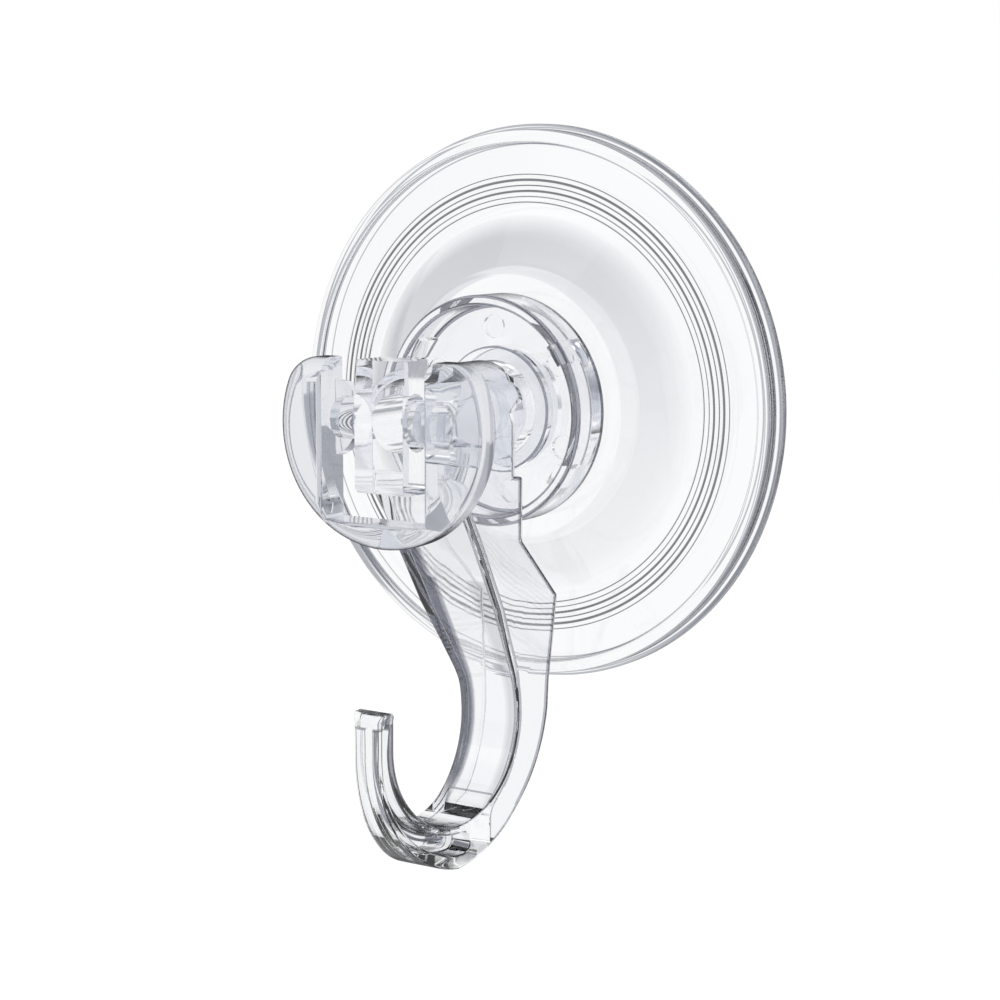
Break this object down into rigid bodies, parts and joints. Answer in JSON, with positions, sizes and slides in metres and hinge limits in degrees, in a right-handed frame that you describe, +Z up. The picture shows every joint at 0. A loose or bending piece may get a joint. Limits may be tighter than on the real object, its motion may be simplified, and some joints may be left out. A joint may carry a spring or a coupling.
{
  "type": "suction cup hook",
  "caption": "Clear lever-lock suction cup hook: round cup, pressure disc, post with cross pin, D-shaped thumb lever and a J hook below.",
  "frame": {"origin": "centre of the cup's suction face, on the wall plane", "axes": "+Y into the wall, so the hook stands out towards -Y; +Z up; +X to the right as seen from the room"},
  "size_m": [0.0852, 0.0452, 0.1095],
  "materials": {
    "soft_clear": "clear flexible vinyl, glossy",
    "hard_clear": "clear moulded polycarbonate, polished"
  },
  "bodies": {
    "cup": {"suction_cup": "soft_clear", "stem": "hard_clear", "cross_pin": "hard_clear"},
    "hook": {"hook": "hard_clear", "pressure_disc": "hard_clear"},
    "lever": {"cam_lever": "hard_clear"}
  },
  "joints": [
    {"name": "lever_hinge", "type": "hinge", "parent": "cup", "child": "lever", "pos_m": [0, -0.0382, 0.0005], "axis": [-1, 0, 0], "range_deg": [0, 90]},
    {"name": "hook_slide", "type": "slide", "parent": "cup", "child": "hook", "axis": [0, -1, 0], "range_m": [0, 0.002]}
  ],
  "couplings": [
    {"joint": "hook_slide", "follows": "lever_hinge", "m_per_rad": 0.00127}
  ]
}
